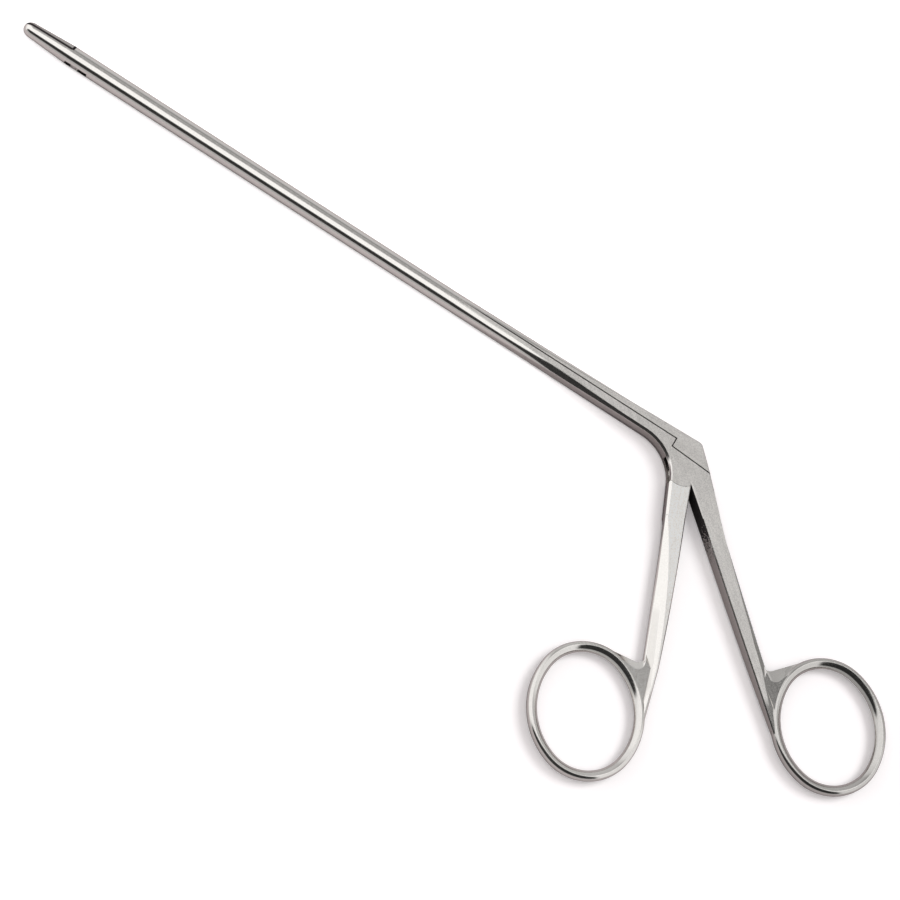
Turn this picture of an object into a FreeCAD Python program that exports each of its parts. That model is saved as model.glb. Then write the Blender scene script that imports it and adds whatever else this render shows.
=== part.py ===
import FreeCAD, Part
import math
import os

from FreeCAD import Vector

# Alligator forceps lying flat, closed. Millimetres.
# The origin is the foot of the handle pivot on the resting plane, +Z is up,
# +X runs along the shaft from the jaws to the elbow, +Y is the sliding rod's side.

# Flat body at the elbow
BODY_THICKNESS = 5.2
MID_Z = BODY_THICKNESS / 2
EDGE_ROUND = 0.35
FLANK_NEAR_Y = 3.3
FLANK_FAR_Y = 7.75
SQUARE_END_X = -20.0
ELBOW_BEND_RADIUS = 13.0

# Shaft and its lengthwise split
SHAFT_RADIUS = 2.6
SHAFT_AXIS_Y = 5.2
SEAM_RISE = 0.6
SEAM_Y = SHAFT_AXIS_Y + SEAM_RISE
ROUND_END_X = -72.0
HALF_SQUARE_X = -45.0
HALF_SQUARE_CORNER = 1.5
ROUND_CORNER_SHARE = 0.98
SLIDE_GAP = 0.06
SEAM_BREAK = 0.09

# Jaws
JAW_LENGTH = 13.7
TIP_X = -202.2
NOSE_LENGTH = 2.4
TIP_RADIUS = 2.0
HEEL_LEAN = 0.4
HEEL_GAP = 0.3
TOOTH_PITCH = 0.8
TOOTH_DEPTH = 0.36
TOOTH_COUNT = 12
TOOTH_START = 0.9
BITE_GAP = 0.05

# Jaw hinge and link
JAW_PIVOT_BACK = 2.6
JAW_PIVOT_Y = 4.2
JAW_PIN_RADIUS = 0.6
LINK_ARM = 2.55
LINK_PIN_RADIUS = 0.45
TAIL_THICKNESS = 1.4
TAIL_EYE_RADIUS = 1.6
LINK_EYE_RADIUS = 0.9
TAIL_SLOT_BACK = 6.4
TAIL_CLEARANCE = 0.07
FORK_MARGIN = 0.22

# Handle hinge and drive
PIVOT_PIN_RADIUS = 1.4
DRIVE_ARM = 5.6
DRIVE_PIN_RADIUS = 0.75
HANDLE_SWING = 20.6
PIN_CLEARANCE = 0.03
SLOT_CLEARANCE = 0.09
TONGUE_THICKNESS = 1.9
TONGUE_CLEARANCE = 0.06
TONGUE_HUB_RADIUS = 3.0
TONGUE_ARM_WIDTH = 2.7
TONGUE_TIP_WALL = 0.5
TONGUE_BITE = 1.0
TONGUE_ROOT_MARGIN = 0.3
SHOULDER_RADIUS = 5.0
SHOULDER_GAP = 0.08
SAW_SLOT_RADIUS = 5.45

# Head of the sliding rod
STEP_X = -5.5
STEP_FOOT_Y = 3.3
HEAD_FOOT_SLOPE = 3.4
HEAD_TOP_Y = 8.5
HEAD_CORNER_X = 0.9
HEAD_CORNER_RADIUS = 1.6
HEAD_HEEL_X = 6.26
HEAD_HEEL_Y = 3.0
HEAD_SLOT_FRONT_X = -3.7
HEAD_SLOT_BACK_X = 2.1
HEAD_ROOF = 0.25
GROOVE_OVERRUN = 1.0

# Keyed rails that hold the rod down on the shaft
RAIL_LENGTH = 6.0
RAIL_NECK_WIDTH = 1.0
RAIL_NECK_HEIGHT = 0.8
RAIL_FOOT_WIDTH = 2.0
RAIL_FOOT_HEIGHT = 0.8
RAIL_CLEARANCE = 0.06
FRONT_RAIL_X = -176.0
REAR_RAIL_X = -46.0

# Handles: the crotch is where both inner edges meet
CROTCH_X = 3.95
CROTCH_Y = -3.2
HANDLE_ROOT = 9.0
HANDLE_ROOT_WIDTH = 4.95
HANDLE_FLARE_WIDTH = 5.5
HANDLE_END_WIDTH = 4.0
HANDLE_END_HEIGHT = 4.0
HANDLE_CORNER = 0.3
SHANK_STEPS = 8
SHANK_END_INSET = 0.34
SHANK_END_FLAT = 0.65
SHANK_END_HEIGHT = 2.5
BEVEL_EDGE_DEPTH_SHARE = 0.15
BEVEL_EDGE_HEIGHT_SHARE = 0.45
FLAT_ROOT_MARGIN = 0.15
FINGER_ANGLE = -70.8
FINGER_BOW = 0.3
FINGER_FLAT_END = 0.6
FINGER_FLAT_FALL = 2.3
THUMB_ANGLE = -41.8
THUMB_BOW = 0.1
THUMB_FLAT_END = 1.8
THUMB_FLAT_FALL = 1.3

# Rings: half sizes are of the wire's centre line
RING_HALF_LENGTH = 16.5
RING_HALF_WIDTH = 13.9
RING_WIRE_WIDTH = 2.7
RING_WIRE_HEIGHT = 3.4
RING_RIDGE_OUT = 0.28
RING_INNER_EDGE = 0.15
RING_INNER_BREAK = 0.57
RING_INNER_BREAK_HEIGHT = 0.85
RING_OUTER_EDGE = 0.35
RING_OUTER_BREAK = 0.27
RING_OUTER_BREAK_HEIGHT = 1.12
FINGER_RING_ALONG = 64.0
FINGER_RING_OUT = 16.2
FINGER_RING_LEAN = 12.0
THUMB_RING_ALONG = 68.5
THUMB_RING_OUT = 15.1
THUMB_RING_LEAN = 9.3
FINGER_WEB_REACH = 5.3
THUMB_WEB_REACH = 5.9
WEB_HEIGHT = 2.9
WEB_RIM_HEIGHT = 0.8
FINGER_WEB_SLOPE = 2.6
THUMB_WEB_SLOPE = 4.0
WEB_COVE = 2.0
WEB_OVERLAP = 0.4

# Values worked out from the ones above
UP = Vector(0, 0, 1)
REACH = 400.0
JOIN_TOLERANCE = 0.002
JAW_HEEL_X = TIP_X + JAW_LENGTH
JAW_PIVOT_X = JAW_HEEL_X + JAW_PIVOT_BACK
ROD_TRAVEL = DRIVE_ARM * math.tan(math.radians(HANDLE_SWING))
LINK_X = JAW_PIVOT_X - ROD_TRAVEL / 2
LINK_Y = JAW_PIVOT_Y + LINK_ARM
JAW_TURN = 2 * math.atan(ROD_TRAVEL / 2 / LINK_ARM)
HEAD_FOOT_FALL = math.tan(math.radians(HEAD_FOOT_SLOPE))

# Place of the middle poles of a cubic curve that draws a quarter of an ellipse
QUARTER_POLE = (math.sqrt(2) - 1) * 4 / 3

# The ring's centre line is an oval of four tangent arcs
RING_DIAGONAL = math.hypot(RING_HALF_LENGTH, RING_HALF_WIDTH)
RING_EXCESS = (RING_HALF_LENGTH - RING_HALF_WIDTH) * RING_DIAGONAL
RING_END_RADIUS = (RING_DIAGONAL ** 2 - RING_EXCESS) / (2 * RING_HALF_LENGTH)
RING_SIDE_RADIUS = (RING_DIAGONAL ** 2 + RING_EXCESS) / (2 * RING_HALF_WIDTH)
RING_TURN = math.atan2(abs(RING_SIDE_RADIUS - RING_HALF_WIDTH),
                       abs(RING_HALF_LENGTH - RING_END_RADIUS))


def polygon(points, z_low, z_high):
    """Prism on a polygon of (x, y) corners between two heights."""
    corners = [Vector(x, y, z_low) for x, y in points]
    face = Part.Face(Part.makePolygon(corners + corners[:1]))
    return face.extrude(UP * (z_high - z_low))


def slab(points, thickness):
    """Prism of the given thickness about the middle plane."""
    return polygon(points, MID_Z - thickness / 2, MID_Z + thickness / 2)


def disc(x, y, radius, thickness):
    """Upright cylinder about the middle plane."""
    foot = Vector(x, y, MID_Z - thickness / 2)
    return Part.makeCylinder(radius, thickness, foot, UP)


def block(x_low, x_high, y_low, y_high, thickness):
    """Box about the middle plane."""
    corners = [(x_low, y_low), (x_high, y_low), (x_high, y_high), (x_low, y_high)]
    return slab(corners, thickness)


def long_hole(x, y, angle, length, radius, thickness):
    """Slot with round ends that starts at (x, y) and runs along an angle."""
    run = Vector(math.cos(angle), math.sin(angle), 0)
    side = Vector(-run.y, run.x, 0) * radius
    start = Vector(x, y, 0)
    end = start + run * length
    corners = [start + side, start - side, end - side, end + side]
    middle = slab([(p.x, p.y) for p in corners], thickness)
    ends = [disc(start.x, start.y, radius, thickness), disc(end.x, end.y, radius, thickness)]
    return middle.multiFuse(ends)


def rounded_outline(corners):
    """Closed wire through (x, y, radius) corners, each rounded by its own arc."""
    count = len(corners)
    starts, ends, middles = [], [], []
    for index in range(count):
        x, y, radius = corners[index]
        here = Vector(x, y, 0)
        before = Vector(*corners[index - 1][:2], 0) - here
        after = Vector(*corners[(index + 1) % count][:2], 0) - here
        before.normalize()
        after.normalize()
        half = before.getAngle(after) / 2
        cut = radius / math.tan(half)
        inward = before + after
        starts.append(here + before * cut)
        ends.append(here + after * cut)
        middles.append(here + inward.normalize() * (radius / math.sin(half) - radius))
    edges = []
    for index in range(count):
        if corners[index][2]:
            arc = Part.Arc(starts[index], middles[index], ends[index])
            edges.append(arc.toShape())
        following = starts[(index + 1) % count]
        edges.append(Part.LineSegment(ends[index], following).toShape())
    return Part.Wire(edges)


def shaft_section(x, near_y, far_y, corner):
    """Cross-section of the shaft at x: a rectangle whose corners may be nearly full round."""
    low, high = MID_Z - BODY_THICKNESS / 2, MID_Z + BODY_THICKNESS / 2
    corners = [(near_y, low), (far_y, low), (far_y, high), (near_y, high)]
    wire = rounded_outline([(y, z, corner) for y, z in corners])
    turn = FreeCAD.Matrix(0, 0, 1, x, 1, 0, 0, 0, 0, 1, 0, 0)
    wire.transformShape(turn)
    return wire


def round_section(x):
    """Cross-section of the round shaft, drawn with as many edges as the flat one."""
    near, far = SHAFT_AXIS_Y - SHAFT_RADIUS, SHAFT_AXIS_Y + SHAFT_RADIUS
    return shaft_section(x, near, far, SHAFT_RADIUS * ROUND_CORNER_SHARE)


def unit(angle):
    """Unit vector in the plane at an angle in degrees."""
    return Vector(math.cos(math.radians(angle)), math.sin(math.radians(angle)), 0)


def turned(direction, angle):
    """Level direction turned about the vertical by an angle in radians."""
    return direction * math.cos(angle) + UP.cross(direction) * math.sin(angle)


class RingHandle:
    """One handle: a tapering shank with a bevelled outer side, a web and a ring.

    Along is measured on the inner edge from the crotch, out is square to it
    and away from the other handle.
    """

    def __init__(self, angle, side, bow, flat_end, flat_fall, ring_along, ring_out, lean,
                 web_reach, web_slope):
        self.run = unit(angle)
        self.out = unit(angle + 90 * side)
        self.bow = bow
        self.flat_end = flat_end
        self.flat_fall = flat_fall
        self.ring_along = ring_along
        self.ring_out = ring_out
        self.ring_axis = unit(angle - lean * side)
        self.web_along = self.ring_crossing(HANDLE_END_WIDTH) - web_reach
        self.web_slope = web_slope

    def at(self, along, out, height=0.0):
        """Point from its distances along, out and above the middle plane."""
        origin = Vector(CROTCH_X, CROTCH_Y, MID_Z + height)
        return origin + self.run * along + self.out * out

    def width(self, share):
        """Width of the shank, from 0 at the root to 1 at the web."""
        return HANDLE_ROOT_WIDTH + (HANDLE_END_WIDTH - HANDLE_ROOT_WIDTH) * share

    def flat(self, share):
        """Width of the flat strip left between the inner edge and the bevel."""
        widest = HANDLE_ROOT_WIDTH - FLAT_ROOT_MARGIN
        return self.flat_end + (widest - self.flat_end) * (1 - share) ** self.flat_fall

    def section(self, along, inner, width, flat, height):
        """Cross-section of the shank: upright inner wall, flat strips, bevels, rounded edge."""
        half = height / 2
        cut = HANDLE_CORNER
        edge_out = inner + width - BEVEL_EDGE_DEPTH_SHARE * (width - flat)
        edge_top = self.at(along, edge_out, half * BEVEL_EDGE_HEIGHT_SHARE)
        edge_foot = self.at(along, edge_out, -half * BEVEL_EDGE_HEIGHT_SHARE)
        corners = [
            edge_foot,
            self.at(along, inner + flat, -half),
            self.at(along, inner + cut, -half),
            self.at(along, inner, cut - half),
            self.at(along, inner, half - cut),
            self.at(along, inner + cut, half),
            self.at(along, inner + flat, half),
            edge_top,
        ]
        edges = [Part.Arc(edge_top, self.at(along, inner + width), edge_foot).toShape()]
        for start, end in zip(corners, corners[1:]):
            edges.append(Part.LineSegment(start, end).toShape())
        return Part.Wire(edges)

    def shank(self):
        """The shank from its root at the body to where it runs into the ring."""
        sections = []
        for step in range(SHANK_STEPS + 1):
            share = step / SHANK_STEPS
            along = HANDLE_ROOT + (self.web_along - HANDLE_ROOT) * share
            bow = -4 * self.bow * share * (1 - share)
            height = BODY_THICKNESS + (HANDLE_END_HEIGHT - BODY_THICKNESS) * share
            sections.append(self.section(along, bow, self.width(share) - bow,
                                         self.flat(share) - bow, height))
        edge = self.ring_edge(self.out * -1, RING_WIRE_WIDTH / 2)
        side = (edge - self.at(0, 0)).dot(self.out)
        sections.append(self.section(self.ring_along, side + SHANK_END_INSET,
                                     RING_WIRE_WIDTH - 2 * SHANK_END_INSET,
                                     SHANK_END_FLAT, SHANK_END_HEIGHT))
        return Part.makeLoft(sections, True, True)

    def ring_arcs(self):
        """Centre, radius, heading and half angle of each arc of the ring's centre line."""
        centre = self.at(self.ring_along, self.ring_out)
        across = UP.cross(self.ring_axis)
        arcs = []
        for side in (1, -1):
            heading = self.ring_axis * side
            arcs.append((centre + heading * (RING_HALF_LENGTH - RING_END_RADIUS),
                         RING_END_RADIUS, heading, RING_TURN))
            heading = across * side
            arcs.append((centre + heading * (RING_HALF_WIDTH - RING_SIDE_RADIUS),
                         RING_SIDE_RADIUS, heading, math.pi / 2 - RING_TURN))
        return arcs

    def ring_curve(self):
        """Oval of the ring's centre line."""
        edges = []
        for centre, radius, heading, reach in self.ring_arcs():
            points = [centre + turned(heading, turn) * radius for turn in (-reach, 0, reach)]
            edges.append(Part.Arc(*points).toShape())
        return Part.Wire(edges)

    def ring_edge(self, direction, offset):
        """Point of the oval, offset outwards, that faces a direction."""
        arcs = self.ring_arcs()
        centre, radius, _, _ = min(arcs, key=lambda arc: arc[2].getAngle(direction) - arc[3])
        return centre + direction * (radius + offset)

    def ring_crossing(self, out):
        """How far along the ring's outer edge first crosses a line beside the shank."""
        crossings = []
        for centre, radius, heading, reach in self.ring_arcs():
            edge = radius + RING_WIRE_WIDTH / 2
            foot = centre - self.at(0, out)
            aside = foot.dot(self.out)
            if abs(aside) >= edge:
                continue
            back = math.sqrt(edge ** 2 - aside ** 2)
            facing = self.run * -back - self.out * aside
            if facing.getAngle(heading) <= reach:
                crossings.append(foot.dot(self.run) - back)
        return min(crossings)

    def ring_section(self, start, outward):
        """Section of the ring: a ridge above and below, and two facets to each edge."""
        half_width = RING_WIRE_WIDTH / 2
        top = [
            (-half_width, RING_INNER_EDGE),
            (RING_INNER_BREAK - half_width, RING_INNER_BREAK_HEIGHT),
            (RING_RIDGE_OUT, RING_WIRE_HEIGHT / 2),
            (half_width - RING_OUTER_BREAK, RING_OUTER_BREAK_HEIGHT),
            (half_width, RING_OUTER_EDGE),
        ]
        outline = top + [(across, -height) for across, height in reversed(top)]
        corners = [start + outward * across + UP * height for across, height in outline]
        return Part.Face(Part.makePolygon(corners + corners[:1]))

    def ring(self):
        """The ring: its section turned round each arc of the centre line."""
        parts = []
        for centre, radius, heading, reach in self.ring_arcs():
            outward = turned(heading, -reach)
            face = self.ring_section(centre + outward * radius, outward)
            parts.append(face.revolve(centre, UP, math.degrees(2 * reach)))
        return parts[0].multiFuse(parts[1:])

    def tangent_point(self, start, offset):
        """Where a line from start touches the offset oval on its outer side."""
        touches = []
        for centre, radius, heading, reach in self.ring_arcs():
            away = start - centre
            if away.Length <= radius + offset:
                continue
            lean = math.acos((radius + offset) / away.Length)
            for turn in (-lean, lean):
                facing = turned(away, turn).normalize()
                if facing.getAngle(heading) <= reach:
                    touches.append(centre + facing * (radius + offset))
        return max(touches, key=lambda point: (point - start).dot(self.out))

    def web_outline(self, inset, offset, height):
        """Outline of the web at a height, with its head edge set back by an inset."""
        along = self.web_along + inset
        valley = self.at(along, HANDLE_END_WIDTH - WEB_OVERLAP)
        touch = self.tangent_point(valley, offset)
        shank_top = self.at(along - 2 * WEB_COVE, HANDLE_END_WIDTH - WEB_OVERLAP)
        shank_in = self.at(along - WEB_COVE, HANDLE_END_WIDTH / 2)
        shank_foot = self.at(self.ring_along, RING_WIRE_WIDTH)
        centre = self.at(self.ring_along, self.ring_out)
        corners = [(valley, WEB_COVE), (shank_top, 0), (shank_in, 0), (shank_foot, 0),
                   (centre, 0), (touch, 0)]
        wire = rounded_outline([(p.x, p.y, radius) for p, radius in corners])
        wire.translate(UP * (MID_Z + height))
        return wire

    def web(self):
        """Web that fills the notch between shank and ring, sloped at its head."""
        rim_offset = (RING_WIRE_WIDTH - WEB_OVERLAP) / 2
        face_offset = RING_RIDGE_OUT + WEB_OVERLAP / 2
        levels = [
            (self.web_slope, face_offset, -WEB_HEIGHT),
            (0, rim_offset, -WEB_RIM_HEIGHT),
            (0, rim_offset, WEB_RIM_HEIGHT),
            (self.web_slope, face_offset, WEB_HEIGHT),
        ]
        outlines = [self.web_outline(inset, offset, height / 2)
                    for inset, offset, height in levels]
        plate = Part.makeLoft(outlines, True, True)
        opening = Part.Face(self.ring_curve())
        opening.translate(UP * -BODY_THICKNESS)
        return plate.cut(opening.extrude(UP * (2 * BODY_THICKNESS)))

    def solid(self):
        """Shank, web and ring in one piece."""
        return self.shank().multiFuse([self.web(), self.ring()])


FINGER = RingHandle(FINGER_ANGLE, -1, FINGER_BOW, FINGER_FLAT_END, FINGER_FLAT_FALL,
                    FINGER_RING_ALONG, FINGER_RING_OUT, FINGER_RING_LEAN,
                    FINGER_WEB_REACH, FINGER_WEB_SLOPE)
THUMB = RingHandle(THUMB_ANGLE, 1, THUMB_BOW, THUMB_FLAT_END, THUMB_FLAT_FALL,
                   THUMB_RING_ALONG, THUMB_RING_OUT, THUMB_RING_LEAN,
                   THUMB_WEB_REACH, THUMB_WEB_SLOPE)


def elbow_plate():
    """Flat elbow before it is divided: rod head, body and the roots of both handles."""
    finger_out = FINGER.at(HANDLE_ROOT, HANDLE_ROOT_WIDTH)
    finger_in = FINGER.at(HANDLE_ROOT, 0)
    thumb_in = THUMB.at(HANDLE_ROOT, 0)
    thumb_out = THUMB.at(HANDLE_ROOT, HANDLE_ROOT_WIDTH)
    shoulder = FINGER.at(0, HANDLE_FLARE_WIDTH)
    slope = (shoulder.x - finger_out.x) / (shoulder.y - finger_out.y)
    bend_x = finger_out.x + slope * (FLANK_NEAR_Y - finger_out.y)
    corners = [
        (SQUARE_END_X, FLANK_NEAR_Y, 0),
        (bend_x, FLANK_NEAR_Y, ELBOW_BEND_RADIUS),
        (finger_out.x, finger_out.y, 0),
        (finger_in.x, finger_in.y, 0),
        (CROTCH_X, CROTCH_Y, 0),
        (thumb_in.x, thumb_in.y, 0),
        (thumb_out.x, thumb_out.y, 0),
        (HEAD_HEEL_X, HEAD_HEEL_Y, 0),
        (HEAD_CORNER_X, HEAD_TOP_Y, HEAD_CORNER_RADIUS),
        (SQUARE_END_X, FLANK_FAR_Y, 0),
    ]
    plate = Part.Face(rounded_outline(corners)).extrude(UP * BODY_THICKNESS)
    cut_faces = [
        (Vector(SQUARE_END_X, 0, 0), Vector(1, 0, 0)),
        (finger_in, FINGER.run),
        (thumb_in, THUMB.run),
    ]
    edges = []
    for edge in plate.Edges:
        ends = [vertex.Point for vertex in edge.Vertexes]
        level = abs(ends[0].z - ends[-1].z) < SEAM_BREAK
        on_cut = False
        for point, normal in cut_faces:
            if all(abs((end - point).dot(normal)) < SEAM_BREAK for end in ends):
                on_cut = True
        if level and not on_cut:
            edges.append(edge)
    return plate.makeFillet(EDGE_ROUND, edges)


def jaw_pair():
    """Both jaws before they are divided: a cone with a rounded nose."""
    nose_x = TIP_X + NOSE_LENGTH
    rim = SHAFT_AXIS_Y + TIP_RADIUS
    heel_axis = Vector(JAW_HEEL_X, SHAFT_AXIS_Y, MID_Z)
    heel_rim = Vector(JAW_HEEL_X, SHAFT_AXIS_Y + SHAFT_RADIUS, MID_Z)
    nose_rim = Vector(nose_x, rim, MID_Z)
    tip = Vector(TIP_X, SHAFT_AXIS_Y, MID_Z)
    nose = Part.BezierCurve()
    nose.setPoles([
        nose_rim,
        Vector(nose_x - NOSE_LENGTH * QUARTER_POLE, rim, MID_Z),
        Vector(TIP_X, SHAFT_AXIS_Y + TIP_RADIUS * QUARTER_POLE, MID_Z),
        tip,
    ])
    lines = [(tip, heel_axis), (heel_axis, heel_rim), (heel_rim, nose_rim)]
    edges = [Part.LineSegment(start, end).toShape() for start, end in lines]
    profile = Part.Face(Part.Wire(edges + [nose.toShape()]))
    return profile.revolve(heel_axis, Vector(1, 0, 0), 360)


def shaft_blank():
    """The whole length of shaft before the rod is split off, round first and then squared."""
    straight = Part.makeCylinder(SHAFT_RADIUS, ROUND_END_X - JAW_HEEL_X,
                                 Vector(JAW_HEEL_X, SHAFT_AXIS_Y, MID_Z), Vector(1, 0, 0))
    round_near = SHAFT_AXIS_Y - SHAFT_RADIUS
    round_far = SHAFT_AXIS_Y + SHAFT_RADIUS
    share = (HALF_SQUARE_X - ROUND_END_X) / (SQUARE_END_X - ROUND_END_X)
    near = round_near + (FLANK_NEAR_Y - round_near) * share
    far = round_far + (FLANK_FAR_Y - round_far) * share
    squaring = Part.makeLoft([
        round_section(ROUND_END_X),
        shaft_section(HALF_SQUARE_X, near, far, HALF_SQUARE_CORNER),
        shaft_section(SQUARE_END_X, FLANK_NEAR_Y, FLANK_FAR_Y, EDGE_ROUND),
    ], True, True)
    return straight.fuse(squaring)


def rod_zone(gap):
    """Space on the rod's side of the seam, the step and the foot of the head."""
    seam = SEAM_Y + gap
    step = STEP_X + gap
    foot = STEP_FOOT_Y + gap
    fall = HEAD_FOOT_FALL * REACH
    corners = [(-REACH, seam), (step, seam), (step, foot), (step + REACH, foot - fall),
               (step + REACH, REACH), (-REACH, REACH)]
    return slab(corners, 2 * BODY_THICKNESS)


def finger_zone(radius, gap):
    """Space of the finger handle: outside the shoulder circle and on its side of the crotch."""
    split = unit((FINGER_ANGLE + THUMB_ANGLE) / 2)
    away = Vector(split.y, -split.x, 0)
    crotch = Vector(CROTCH_X, CROTCH_Y, 0) + away * gap
    high = crotch - split * SHOULDER_RADIUS
    low = crotch + split * REACH
    shelf = -SHOULDER_RADIUS / 2
    high_x = crotch.x - split.x * (crotch.y - shelf) / split.y
    corners = [(high_x, shelf), (low.x, low.y), (-REACH, low.y), (-REACH, shelf)]
    if high.y < shelf:
        corners[0] = (high.x, high.y)
    return slab(corners, 2 * BODY_THICKNESS).cut(disc(0, 0, radius, 2 * BODY_THICKNESS))


def seam_groove(start, end, height):
    """Fine V groove along the surface where two parts meet."""
    run = end - start
    side = SEAM_BREAK * math.sqrt(2)
    bar = Part.makeBox(side, side, run.Length, Vector(-side / 2, -side / 2, 0))
    bar.rotate(Vector(0, 0, 0), UP, 45)
    bar.Placement = FreeCAD.Placement(Vector(start.x, start.y, height),
                                      FreeCAD.Rotation(UP, run)).multiply(bar.Placement)
    return bar


def seam_grooves():
    """Broken edges along the seam, the step and the foot of the head, on both faces."""
    end_x = HEAD_HEEL_X + GROOVE_OVERRUN
    end_y = STEP_FOOT_Y - HEAD_FOOT_FALL * (end_x - STEP_X)
    stops = [Vector(SQUARE_END_X, SEAM_Y, 0), Vector(STEP_X, SEAM_Y, 0),
             Vector(STEP_X, STEP_FOOT_Y, 0), Vector(end_x, end_y, 0)]
    grooves = []
    for start, end in zip(stops, stops[1:]):
        for height in (0, BODY_THICKNESS):
            grooves.append(seam_groove(start, end, height))
    return grooves


def teeth_line(gap):
    """Zigzag of the teeth from heel to tip, lifted by a gap, with flat ends."""
    start = TIP_X + NOSE_LENGTH / 2 + TOOTH_START
    flat_x = start + (TOOTH_COUNT + 0.5) * TOOTH_PITCH
    points = [(JAW_HEEL_X + TOOTH_PITCH, SEAM_Y + gap), (flat_x, SEAM_Y + gap)]
    for index in range(2 * TOOTH_COUNT, -1, -1):
        lift = TOOTH_DEPTH / 2 if index % 2 else -TOOTH_DEPTH / 2
        points.append((start + index * TOOTH_PITCH / 2, SEAM_Y + lift + gap))
    points.append((TIP_X - TOOTH_PITCH, SEAM_Y + gap))
    return points


def lower_jaw(pair):
    """Fixed jaw: what lies below the teeth."""
    points = [(x, y) for x, y in teeth_line(-BITE_GAP / 2)]
    above = slab(points + [(points[-1][0], REACH), (points[0][0], REACH)], 2 * BODY_THICKNESS)
    heel_x = JAW_HEEL_X - SEAM_BREAK
    heel = block(heel_x, REACH, SEAM_Y - SLIDE_GAP / 2, REACH, 2 * BODY_THICKNESS)
    return pair.cut(above).cut(heel)


def heel_zone(gap):
    """Space ahead of the leaning heel of the upper jaw."""
    low = JAW_HEEL_X - gap
    high = low + HEEL_LEAN
    rise = 2 * SHAFT_RADIUS - SEAM_RISE
    corners = [(low, SEAM_Y), (high, SEAM_Y - SEAM_RISE + rise), (high, REACH),
               (-REACH, REACH), (-REACH, -REACH), (low, -REACH)]
    return slab(corners, 2 * BODY_THICKNESS)


def heel_relief():
    """Where the heel of the open jaw stands, in the place of the closed rod."""
    zone = heel_zone(-HEEL_GAP / 2)
    zone.rotate(Vector(JAW_PIVOT_X, JAW_PIVOT_Y, 0), UP, -math.degrees(JAW_TURN))
    zone.translate(Vector(-ROD_TRAVEL, 0, 0))
    return zone


def tail():
    """Thin tail of the upper jaw, with the eye of its pivot and the slot of the link pin."""
    heel_x = JAW_HEEL_X - SEAM_BREAK
    root_x = heel_x - TOOTH_PITCH
    root_y = SEAM_Y + SLIDE_GAP
    link_top = LINK_Y + LINK_EYE_RADIUS
    lean = math.atan2(LINK_ARM, LINK_X - JAW_PIVOT_X)
    stretch = math.hypot(LINK_ARM, ROD_TRAVEL / 2) - LINK_ARM
    eye = disc(JAW_PIVOT_X, JAW_PIVOT_Y, TAIL_EYE_RADIUS, TAIL_THICKNESS)
    link = disc(LINK_X, LINK_Y, LINK_EYE_RADIUS, TAIL_THICKNESS)
    neck = slab([(root_x, root_y), (heel_x, root_y), (JAW_PIVOT_X - TAIL_EYE_RADIUS, JAW_PIVOT_Y),
                 (JAW_PIVOT_X + TAIL_EYE_RADIUS, JAW_PIVOT_Y), (LINK_X + LINK_EYE_RADIUS, LINK_Y),
                 (LINK_X, link_top), (root_x, link_top)], TAIL_THICKNESS)
    bore = disc(JAW_PIVOT_X, JAW_PIVOT_Y, JAW_PIN_RADIUS + PIN_CLEARANCE, BODY_THICKNESS)
    start_x = LINK_X - stretch * math.cos(lean)
    start_y = LINK_Y - stretch * math.sin(lean)
    slot_radius = LINK_PIN_RADIUS + TAIL_CLEARANCE
    slot = long_hole(start_x, start_y, lean, stretch, slot_radius, BODY_THICKNESS)
    return eye.multiFuse([link, neck]).cut(bore.fuse(slot))


def upper_jaw(pair, blank):
    """Moving jaw: what lies above the teeth, and its tail."""
    points = teeth_line(BITE_GAP / 2)
    below = slab(points + [(points[-1][0], -REACH), (points[0][0], -REACH)], 2 * BODY_THICKNESS)
    sole = block(JAW_HEEL_X, REACH, -REACH, SEAM_Y + BITE_GAP / 2, 2 * BODY_THICKNESS)
    front = pair.fuse(blank).common(heel_zone(0)).cut(below).cut(sole)
    root = block(JAW_HEEL_X - TOOTH_PITCH, JAW_HEEL_X, SEAM_Y + SLIDE_GAP, REACH, TAIL_THICKNESS)
    return front.fuse(tail().common(blank.fuse(pair))).fuse(root.common(front))


def rails(clearance, run, open_mouth):
    """Two rails with feet, or the slots and entry pockets that they slide in."""
    shapes = []
    neck = RAIL_NECK_WIDTH + 2 * clearance
    foot = RAIL_FOOT_WIDTH + 2 * clearance
    foot_top = SEAM_Y - RAIL_NECK_HEIGHT + clearance
    foot_low = SEAM_Y - RAIL_NECK_HEIGHT - RAIL_FOOT_HEIGHT - clearance
    for start in (FRONT_RAIL_X, REAR_RAIL_X):
        low = start - clearance
        high = start + RAIL_LENGTH + run + clearance
        shapes.append(block(low, high, foot_top - clearance, SEAM_Y + SLIDE_GAP, neck))
        shapes.append(block(low, high, foot_low, foot_top, foot))
        if open_mouth:
            shapes.append(block(high, high + RAIL_LENGTH + clearance, foot_low,
                                SEAM_Y + SLIDE_GAP, foot))
    return shapes


def tail_slot(back_x):
    """Slot for the tail of the upper jaw."""
    width = TAIL_THICKNESS + 2 * TAIL_CLEARANCE
    return block(JAW_HEEL_X - SEAM_BREAK - TAIL_CLEARANCE, back_x, -REACH, REACH, width)


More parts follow.
